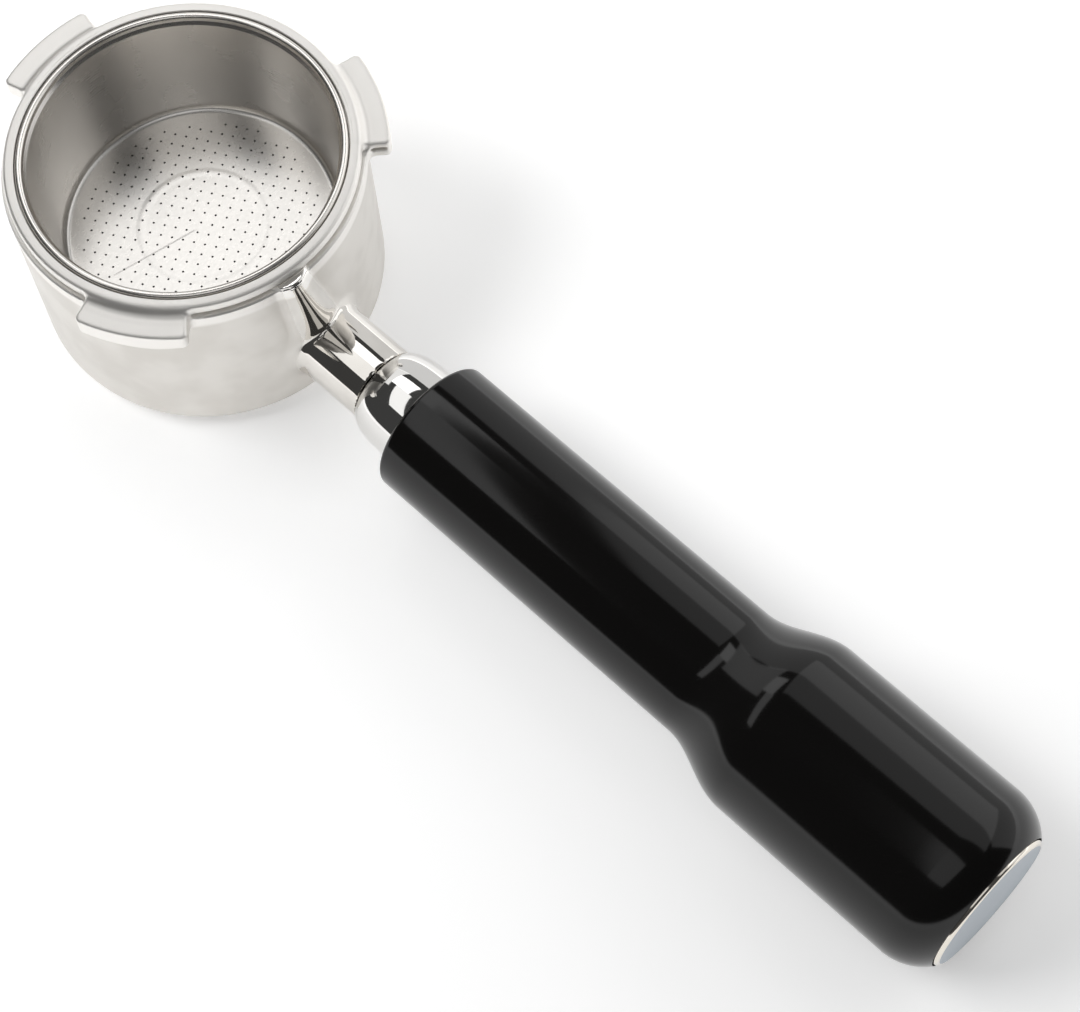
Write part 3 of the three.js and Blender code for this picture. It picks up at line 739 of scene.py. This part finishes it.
def basketOutline():
    low, top = basketLow.z, basketHigh.z
    wall, corner = basket["wall"], basket["corner"]
    floor = low + wall
    lipOuter, lipInner = basketHigh.x, basket["lipInner"]
    half = (lipOuter - lipInner) / 2
    lipFoot = top - basket["lipHeight"]
    ring, rise = basket["ringRadius"], basket["ringRise"]
    outer = basket["floorRadius"] + wall
    inner = basket["floorRadius"]
    guard = basket["guard"]
    far, near, edge = basket["ringHalf"], basket["ringShoulder"], basket["lipEdge"]
    bead = [(ring + far + guard, 0), (ring + far, 0), (ring + near, rise / 2), (ring, rise),
            (ring - near, rise / 2), (ring - far, 0), (ring - far - guard, 0)]
    footCorner = basket["footCorner"]
    return [
        (0, low),
        *[(r, low + h) for r, h in reversed(bead)],
        (outer - corner - footCorner - guard, low),
        *arc(outer - corner - footCorner, low + corner + footCorner, corner + footCorner, -90, 0, 10),
        (basket["mouthRadius"] + wall, lipFoot - basket["neckDrop"]),
        (basket["mouthRadius"] + wall, lipFoot),
        (lipOuter - edge, lipFoot),
        (lipOuter, lipFoot + edge),
        *arc(lipOuter - half, top - half, half, 0, 180, 14),
        (lipInner - 0.02, lipFoot + edge),
        (basket["mouthRadius"] + basket["throat"], lipFoot - basket["throatDrop"]),
        (basket["mouthRadius"], lipFoot - basket["mouthDrop"]),
        *arc(inner - corner, floor + corner, corner, 0, -90, 10),
        (inner - corner - guard, floor),
        *[(r, floor + h) for r, h in bead],
        (0, floor),
    ]


def startTree(name, inputs):
    # a tree with named inputs, and what each of them gives
    tree = bpy.data.node_groups.new(name, "GeometryNodeTree")
    face = tree.interface
    for title, kind in {"Geometry": "Geometry", **inputs, "Finish": "Material"}.items():
        face.new_socket(title, in_out="INPUT", socket_type="NodeSocket" + kind)
    face.new_socket("Geometry", in_out="OUTPUT", socket_type="NodeSocketGeometry")
    start = tree.nodes.new("NodeGroupInput").outputs
    return tree, {socket.name: Wire(tree, socket) for socket in start if socket.name}


def endTree(tree, copies, finish):
    real = addNode(tree, "GeometryNodeRealizeInstances", None, {0: copies})
    done = addNode(tree, "GeometryNodeSetMaterial", None, {0: real, "Material": finish})
    end = tree.nodes.new("NodeGroupOutput")
    tree.links.new(done.socket, end.inputs[0])
    return tree


def punchTree():
    # a square grid of short rods, kept where they fall inside a circle
    tree, given = startTree("punchPattern", {
        "Pitch": "Float", "Reach": "Float", "Radius": "Float", "Depth": "Float", "Turn": "Float",
        "Slide": "Vector", "Per Side": "Int", "Sides": "Int",
    })
    perSide = given["Per Side"]
    span = given["Pitch"] * (perSide - 1)
    grid = addNode(tree, "GeometryNodeMeshGrid", None, {
        "Size X": span, "Size Y": span, "Vertices X": perSide, "Vertices Y": perSide})
    turn = addNode(tree, "ShaderNodeCombineXYZ", None, {2: given["Turn"]})
    moved = addNode(tree, "GeometryNodeTransform", None, {0: grid, "Translation": given["Slide"]})
    moved = addNode(tree, "GeometryNodeTransform", None, {0: moved, "Rotation": turn})
    place = addNode(tree, "GeometryNodeInputPosition")
    away = addNode(tree, "ShaderNodeVectorMath", dict(operation="LENGTH"), {0: place}, 1)
    beyond = dict(operation="GREATER_THAN")
    far = addNode(tree, "FunctionNodeCompare", beyond, {0: away, 1: given["Reach"]})
    kept = addNode(tree, "GeometryNodeDeleteGeometry", dict(domain="POINT"), {0: moved, 1: far})
    tool = addNode(tree, "GeometryNodeMeshCylinder", None, {
        "Vertices": given["Sides"], "Radius": given["Radius"], "Depth": given["Depth"]})
    copies = addNode(tree, "GeometryNodeInstanceOnPoints", None, {"Points": kept, "Instance": tool})
    return endTree(tree, copies, given["Finish"])


def runTree(name, tree, values):
    obj = meshObject(name, [(0, 0, 0)], [])
    change = obj.modifiers.new("nodes", "NODES")
    change.node_group = tree
    for item in tree.interface.items_tree:
        if item.in_out == "INPUT" and item.name in values:
            change[item.identifier] = values[item.name]
    return flatten(obj)


def makeBasket():
    finish = drawnSteel("basketSteel")
    piece = revolve("filterBasket", basketOutline(), basket["steps"])
    punches = runTree("punches", punchTree(), {
        "Pitch": punch["pitch"] * mm, "Reach": punch["reach"] * mm, "Radius": punch["radius"] * mm,
        "Depth": punch["depth"] * mm, "Turn": math.radians(punch["turn"]),
        "Slide": tuple(c * mm for c in punch["slide"]) + (0.0,),
        "Per Side": punch["perSide"], "Sides": punch["sides"], "Finish": finish,
    })
    punches.data.transform(Matrix.Translation((0, 0, (basketLow.z + basket["wall"] / 2) * mm)))
    cut(piece, punches)
    smooth(piece, 28)
    finishPiece(piece, "basket", finish, "filter_basket", "filter_basket")
    print("filter basket", len(piece.data.polygons))


# Pieces turned about the handle's axis

collar = dict(
    frontRadius=7.3, rearRadius=9.3, dome=7.0, front=46.9, rear=57.1, bevel=0.4, bore=5.3,
    counter=6.5, counterEnd=48.3, frontChamfer=0.15,
)
grip = dict(
    frontRadius=12.75, frontEdge=0.9, front=57.9, swellStart=125.9, swell=15.0, rearRadius=17.0,
    rearLength=35.1, endRadius=10.0, recessRadius=13.3, bushPocket=7.1, bore=4.6, cavityRadius=9.1,
    cavityDepth=33.3, frontPocket=14.1, rearPocket=11.6, recessDepth=1.8,
    ringGap=4, overlap=0.1,
)
capFace = dict(
    radius=13.0, flatRadius=12.3, bevel=0.7, proud=0.7, thickness=2.2, spigot=8.0, bore=5.4,
    spigotLength=9.9, grooveRadius=7.0, groovePlace=4.6, grooveHalf=1.1, dish=0.12, dishEdge=0.5,
)


def makeCollar():
    rise, bevel = collar["rearRadius"] - collar["frontRadius"], collar["bevel"]
    dome = [
        (collar["frontRadius"] + rise * math.sin(a), collar["front"] + collar["dome"] * (1 - math.cos(a)))
        for a in np.radians(np.linspace(6, 90, 22))
    ]
    outline = [
        (collar["counter"], collar["front"]),
        (collar["frontRadius"] - collar["frontChamfer"], collar["front"]),
        *dome,
        *arc(collar["rearRadius"] - bevel, collar["rear"] - bevel, bevel, 0, 90, 6),
        (collar["bore"], collar["rear"]),
        (collar["bore"], collar["counterEnd"]),
        (collar["counter"], collar["counterEnd"]),
    ]
    piece = smooth(revolve("collarRing", outline, 160, handlePlace), 32)
    finishPiece(piece, "holder", polishedChrome("collarChrome"), "collar", "collar")


def gripEnd():
    # where the end's rounding meets the cap's recess
    inner = grip["recessRadius"] + grip["overlap"] - (grip["rearRadius"] - grip["endRadius"])
    reach = math.sqrt(grip["endRadius"] ** 2 - inner ** 2)
    return grip["swellStart"] + grip["swell"] + grip["rearLength"] + reach


def makeGrip():
    rise = grip["rearRadius"] - grip["frontRadius"]
    swellEnd = grip["swellStart"] + grip["swell"]
    rounding = swellEnd + grip["rearLength"]
    end = gripEnd()
    last = math.degrees(math.asin((end - rounding) / grip["endRadius"]))
    edge, gap = grip["frontEdge"], grip["ringGap"]
    swell = [
        (grip["frontRadius"] + rise * (1 - math.cos(math.pi * s)) / 2,
         grip["swellStart"] + grip["swell"] * s)
        for s in np.linspace(0, 1, 41)
    ]
    slim = np.linspace(grip["front"] + gap, grip["swellStart"] - gap, 8)
    thick = np.linspace(swellEnd + gap, rounding - gap, 5)
    cavityFloor = end - grip["cavityDepth"]
    outline = [
        (grip["bushPocket"], grip["front"]),
        *arc(grip["frontRadius"] - edge, grip["front"] + edge, edge, -90, 0, 10),
        *[(grip["frontRadius"], h) for h in slim],
        *swell,
        *[(grip["rearRadius"], h) for h in thick],
        *arc(grip["rearRadius"] - grip["endRadius"], rounding, grip["endRadius"], 0, last, 20),
        (grip["recessRadius"], end),
        (grip["recessRadius"], end - grip["recessDepth"]),
        (grip["cavityRadius"], end - grip["recessDepth"]),
        (grip["cavityRadius"], cavityFloor),
        (grip["bushPocket"], cavityFloor),
        (grip["bushPocket"], cavityFloor - grip["rearPocket"]),
        (grip["bore"], cavityFloor - grip["rearPocket"]),
        (grip["bore"], grip["front"] + grip["frontPocket"]),
        (grip["bushPocket"], grip["front"] + grip["frontPocket"]),
    ]
    piece = smooth(revolve("gripHandle", outline, 144, handlePlace), 32)
    finishPiece(piece, "holder", glossPlastic("gripPlastic"), "grip", "grip")


def makeEndCap():
    face = gripEnd() + capFace["proud"]
    shoulder = face - capFace["thickness"]
    foot = shoulder - capFace["spigotLength"]
    groove = shoulder - capFace["groovePlace"]
    half = capFace["grooveHalf"]
    outline = [
        (capFace["bore"], foot),
        (capFace["spigot"], foot),
        (capFace["spigot"], groove - half),
        (capFace["grooveRadius"], groove - half),
        (capFace["grooveRadius"], groove + half),
        (capFace["spigot"], groove + half),
        (capFace["spigot"], shoulder),
        (capFace["radius"], shoulder),
        *arc(capFace["radius"] - capFace["bevel"], face - capFace["bevel"], capFace["bevel"], 0, 80, 8),
        (capFace["flatRadius"] - 0.1, face - 0.02),
        (capFace["flatRadius"] - capFace["dishEdge"], face - capFace["dish"]),
        (6, face - capFace["dish"]),
        (0.0, face - capFace["dish"]),
        (0.0, shoulder),
        (capFace["bore"], shoulder),
    ]
    piece = smooth(revolve("gripEndCap", outlineClosedOnAxis(outline), 144, handlePlace), 32)
    finishPiece(piece, "holder", spunAluminium("capAluminium"), "end_cap", "end_cap")


def outlineClosedOnAxis(outline):
    # the outline turned so that it starts and ends on the axis
    first = next(i for i, p in enumerate(outline) if p[0] == 0 and outline[i - 1][0] == 0)
    return outline[first:] + outline[:first]


# Pieces inside the cup

insert = dict(
    radius=26.0, wall=1.6, deck=1.0, rim=1.0, foot=8.3, deckFoot=11.3, hole=3.4, edge=0.35,
    crease=0.3, holeChamfer=0.4, ribs=12, ribHeight=0.8, ribWidth=1.1, ribMargin=2, ribSink=0.2,
)
wire = dict(
    section=0.6, radius=28.15, opening=24.0, drop=9.5, steps=120, sides=16, roundEnd=(0.05, 0.3, 0.65),
)
nozzle = dict(
    radius=14.0, thickness=4.0, outlet=2.2, mouth=3.3, mouthDepth=1.4, place=8.0, screwHole=2.3,
    screwDepth=2.8, edge=0.6, topEdge=0.2,
)


def ribTree():
    # bars set round a circle, each one pointing away from the middle
    tree, given = startTree("ribRing", {"Count": "Int", "Reach": "Float", "Size": "Vector"})
    circle = {"Vertices": given["Count"], "Radius": given["Reach"]}
    ring = addNode(tree, "GeometryNodeMeshCircle", None, circle)
    number = addNode(tree, "GeometryNodeInputIndex")
    angle = number * (2 * math.pi) / given["Count"]
    turn = addNode(tree, "ShaderNodeCombineXYZ", None, {2: angle})
    bar = addNode(tree, "GeometryNodeMeshCube", None, {"Size": given["Size"]})
    bars = {"Points": ring, "Instance": bar, "Rotation": turn}
    copies = addNode(tree, "GeometryNodeInstanceOnPoints", None, bars)
    return endTree(tree, copies, given["Finish"])


def makeInsert():
    inner = insert["radius"] - insert["wall"]
    deckTop = insert["deckFoot"] + insert["deck"]
    edge, crease, chamfer = insert["edge"], insert["crease"], insert["holeChamfer"]
    outline = [
        (insert["hole"], insert["deckFoot"]),
        (inner, insert["deckFoot"]),
        (inner, insert["foot"]),
        (insert["radius"], insert["foot"]),
        *arc(insert["radius"] - edge, deckTop + insert["rim"] - edge, edge, 0, 90, 5),
        *arc(inner + edge, deckTop + insert["rim"] - edge, edge, 90, 180, 5),
        (inner, deckTop + crease),
        (inner - crease, deckTop),
        (insert["hole"] + chamfer, deckTop),
        (insert["hole"], deckTop - chamfer),
    ]
    finish = dullPlastic("insertPlastic", (0.045, 0.047, 0.05), 0.5, 4.0)
    piece = revolve("flowInsert", outline, 128)
    length = inner - insert["hole"] - 2 * insert["ribMargin"]
    ribs = runTree("ribs", ribTree(), {
        "Count": insert["ribs"], "Reach": (insert["hole"] + insert["ribMargin"] + length / 2) * mm,
        "Size": (length * mm, insert["ribWidth"] * mm, insert["ribHeight"] * mm), "Finish": finish,
    })
    ribMiddle = deckTop + insert["ribHeight"] / 2 - insert["ribSink"]
    ribs.data.transform(Matrix.Translation((0, 0, ribMiddle * mm)))
    join(piece, ribs)
    smooth(piece, 30)
    finishPiece(piece, "insert", finish, "flow_insert", "flow_insert")


def makeSpring():
    # an open ring of wire with rounded ends
    section, half = wire["section"], wire["opening"] / 2
    turn = np.radians(np.linspace(half, 360 - half, wire["steps"] + 1))
    height = cupTop - wire["drop"]
    around = np.radians(np.linspace(0, 360, wire["sides"], endpoint=False))
    ends = [(section * (1 - s) / wire["radius"], math.sqrt(1 - (1 - s) ** 2)) for s in wire["roundEnd"]]
    places = [(turn[0] - beyond, share) for beyond, share in ends]
    places += [(t, 1.0) for t in turn]
    places += [(turn[-1] + beyond, share) for beyond, share in reversed(ends)]
    points, faces = [], []
    for angle, share in places:
        for a in around:
            radius = wire["radius"] + section * share * math.cos(a)
            points.append((radius * math.cos(angle), radius * math.sin(angle),
                           height + section * share * math.sin(a)))
    sides = len(around)
    for ring in range(len(places) - 1):
        for i in range(sides):
            j = (i + 1) % sides
            a, b = ring * sides, (ring + 1) * sides
            faces.append((a + i, a + j, b + j, b + i))
    faces.append(tuple(range(sides)))
    faces.append(tuple(len(points) - sides + i for i in range(sides)))
    piece = smooth(meshObject("basketWire", points, faces), 40)
    finish = plainMetal("springWire", (0.5, 0.49, 0.48), 0.25)
    finishPiece(piece, "holder", finish, "spring_steel", "basket_spring")


def makeNozzle():
    top, edge = nozzle["thickness"], nozzle["edge"]
    outline = [
        (0, 0),
        (nozzle["radius"] - edge, 0),
        *arc(nozzle["radius"] - edge, edge, edge, -90, 0, 6),
        (nozzle["radius"], top - nozzle["topEdge"]),
        (nozzle["radius"] - nozzle["topEdge"], top),
        (0, top),
    ]
    piece = revolve("outletNozzle", outline, 128)
    funnel = [(0, -1), (nozzle["mouth"] + 0.4, -1), (nozzle["mouth"] + 0.4, -0.01), (nozzle["mouth"], 0.4),
              *arc(nozzle["outlet"] + 1.0, nozzle["mouthDepth"] + 0.6, 1.0, -90, -180, 6)[1:],
              (nozzle["outlet"], top + 1), (0, top + 1)]
    for side in (-1, 1):
        place = Matrix.Translation((0, side * nozzle["place"], 0))
        cut(piece, revolve("funnel", funnel, 64, place))
    cut(piece, rod(nozzle["screwHole"], top - nozzle["screwDepth"], top + 1))
    smooth(piece, 30)
    finishPiece(piece, "holder", satinChrome("nozzleChrome"), "outlet_nozzle", "outlet_nozzle")


thread = dict(depth=0.45, slope=1.6, bite=0.5, steps=40, perPitch=8)
stud = dict(radius=4.0, pitch=1.25, frontThread=24.0, rearThread=22.0, chamfer=0.6, waist=3.55)
nut = dict(flats=6.5, bore=4.3, chamfer=0.9, pitch=1.25)
screw = dict(shank=2.0, pitch=0.7, head=3.8, headHeight=1.8, edge=0.5, socket=1.7, socketDepth=1.1)
bush = dict(
    outer=6.8, bore=4.3, ridges=24, ridge=0.25, slant=1.3, collarWidth=1.2, chamfer=0.4, pitch=1.25,
    spacing=0.35, steps=144,
)


def turnedRod(name, radiusAt, ends, spacing, place, sides=48):
    # a closed rod whose radius depends on the height and on the turn about its axis
    low, high = ends
    heights = np.linspace(low, high, max(3, round((high - low) / spacing)) + 1)
    turn = np.linspace(0, 2 * math.pi, sides, endpoint=False)
    points, faces = [place @ Vector((0, 0, low))], []
    for height in heights:
        for angle in turn:
            radius = radiusAt(height, angle)
            points.append(place @ Vector((radius * math.cos(angle), radius * math.sin(angle), height)))
    points.append(place @ Vector((0, 0, high)))
    last = len(points) - 1
    for i in range(sides):
        j = (i + 1) % sides
        faces.append((0, 1 + j, 1 + i))
        faces.append((last, last - sides + i, last - sides + j))
        for ring in range(len(heights) - 1):
            a, b = 1 + ring * sides, 1 + (ring + 1) * sides
            faces.append((a + i, a + j, b + j, b + i))
    return meshObject(name, points, faces)


def threadDepth(height, angle, pitch):
    share = (height / pitch - angle / (2 * math.pi)) % 1
    return thread["depth"] * min(1.0, thread["slope"] * (1 - abs(2 * share - 1)))


def alongHandle(node):
    # a node's ends along the handle's axis
    low, high = boxIn(node)
    middle = (low + high) / 2
    reach = (high.x - low.x) / 2
    radius = (high.y - low.y) / 2
    half = (reach - radius * abs(math.sin(handleRise))) / math.cos(handleRise)
    centre = (middle - Vector((0, 0, handleHeight))).dot(handleWay)
    return centre - half, centre + half


def makeStud(finish):
    low, high = alongHandle("handle_stud")

    def radiusAt(height, angle):
        fromEnd = min(height - low, high - height)
        threaded = height < low + stud["frontThread"] or height > high - stud["rearThread"]
        if not threaded:
            return stud["waist"]
        radius = stud["radius"] - threadDepth(height, angle, stud["pitch"])
        return min(radius, stud["radius"] - stud["chamfer"] + fromEnd)

    spacing = stud["pitch"] / thread["perPitch"]
    piece = turnedRod("handleStud", radiusAt, (low, high), spacing, handlePlace, thread["steps"])
    smooth(piece, 40)
    finishPiece(piece, "holder", finish, "fastener", "handle_stud")


def threadedHole(radius, pitch, ends, place):
    def radiusAt(height, angle):
        return radius - thread["bite"] / 2 + thread["bite"] * threadDepth(height, angle, pitch)

    return turnedRod("hole", radiusAt, ends, pitch / thread["perPitch"], place, thread["steps"])


def makeNut(finish):
    low, high = alongHandle("stud_nut")
    corner = nut["flats"] / math.cos(math.pi / 6)
    piece = rod(corner, low, high, steps=6, place=handlePlace @ Matrix.Rotation(math.pi / 6, 4, "Z"))
    edge, drop, outer = nut["chamfer"], nut["chamfer"] * 0.7, corner + 0.1
    cone = [(0, low), (corner - edge, low), (outer, low + drop), (outer, high - drop),
            (corner - edge, high), (0, high)]
    combine(piece, revolve("cone", cone, 64, handlePlace), "INTERSECT")
    cut(piece, threadedHole(nut["bore"], nut["pitch"], (low - 1, high + 1), handlePlace))
    smooth(piece, 30)
    piece.name = piece.data.name = "studNut"
    finishPiece(piece, "holder", finish, "fastener", "stud_nut")


def makeBush(name, node, finish):
    low, high = alongHandle(node)

    def radiusAt(height, angle):
        fromEnd = min(height - low, high - height)
        depth = 0.0
        if fromEnd > bush["collarWidth"]:
            slant = bush["slant"] * (height - low)
            ridges = [abs(math.sin(bush["ridges"] / 2 * angle + s * slant)) for s in (1, -1)]
            depth = bush["ridge"] * (1 - min(ridges))
        return min(bush["outer"] - depth, bush["outer"] - bush["chamfer"] + fromEnd)

    piece = turnedRod(name, radiusAt, (low, high), bush["spacing"], handlePlace, bush["steps"])
    cut(piece, threadedHole(bush["bore"], bush["pitch"], (low - 1, high + 1), handlePlace))
    smooth(piece, 35)
    finishPiece(piece, "holder", finish, "bush", node)


def makeScrew(finish):
    low, high = boxIn("outlet_screw")
    headFoot = high.z - screw["headHeight"]

    def radiusAt(height, angle):
        if height > headFoot:
            return min(screw["head"], screw["head"] - screw["edge"] + (high.z - height))
        radius = screw["shank"] - thread["bite"] * threadDepth(height, angle, screw["pitch"])
        return min(radius, screw["shank"] - screw["edge"] + (height - low.z))

    spacing = screw["pitch"] / thread["perPitch"]
    piece = turnedRod("outletScrew", radiusAt, (low.z, high.z), spacing, Matrix(), 48)
    socket = rod(screw["socket"], high.z - screw["socketDepth"], high.z + 1, steps=6)
    cut(piece, socket)
    smooth(piece, 35)
    finishPiece(piece, "holder", finish, "fastener", "outlet_screw")


def finishKeptNodes():
    rubber = dullPlastic("sealRubber", (0.008, 0.008, 0.008), 0.6, 6.0)
    zinc = plainMetal("zincSteel", (0.5, 0.51, 0.5), 0.35)
    brass = plainMetal("turnedBrass", (0.55, 0.36, 0.12), 0.3)
    temper = plainMetal("temperedSteel", (0.42, 0.41, 0.4), 0.3)
    makeStud(zinc)
    makeNut(zinc)
    makeScrew(zinc)
    for name, node in (("frontBush", "front_bush"), ("rearBush", "rear_bush")):
        makeBush(name, node, brass)
    # these keep the shapes they were packed with
    kept = {
        rubber: ("outlet_gasket", "collar_ring", "grip_seal", "cap_ring"),
        zinc: ("screw_washer", "stud_washer"),
        temper: ("lock_washer",),
    }
    for material, names in kept.items():
        for name in names:
            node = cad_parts[name]
            for slot in node.material_slots:
                slot.material = material


makeCamera()
makeStudio()
print("camera and studio")
makeHolderBody()
makeBasket()
makeCollar()
makeGrip()
makeEndCap()
print("handle")
makeInsert()
makeSpring()
makeNozzle()
finishKeptNodes()
print("inner pieces")
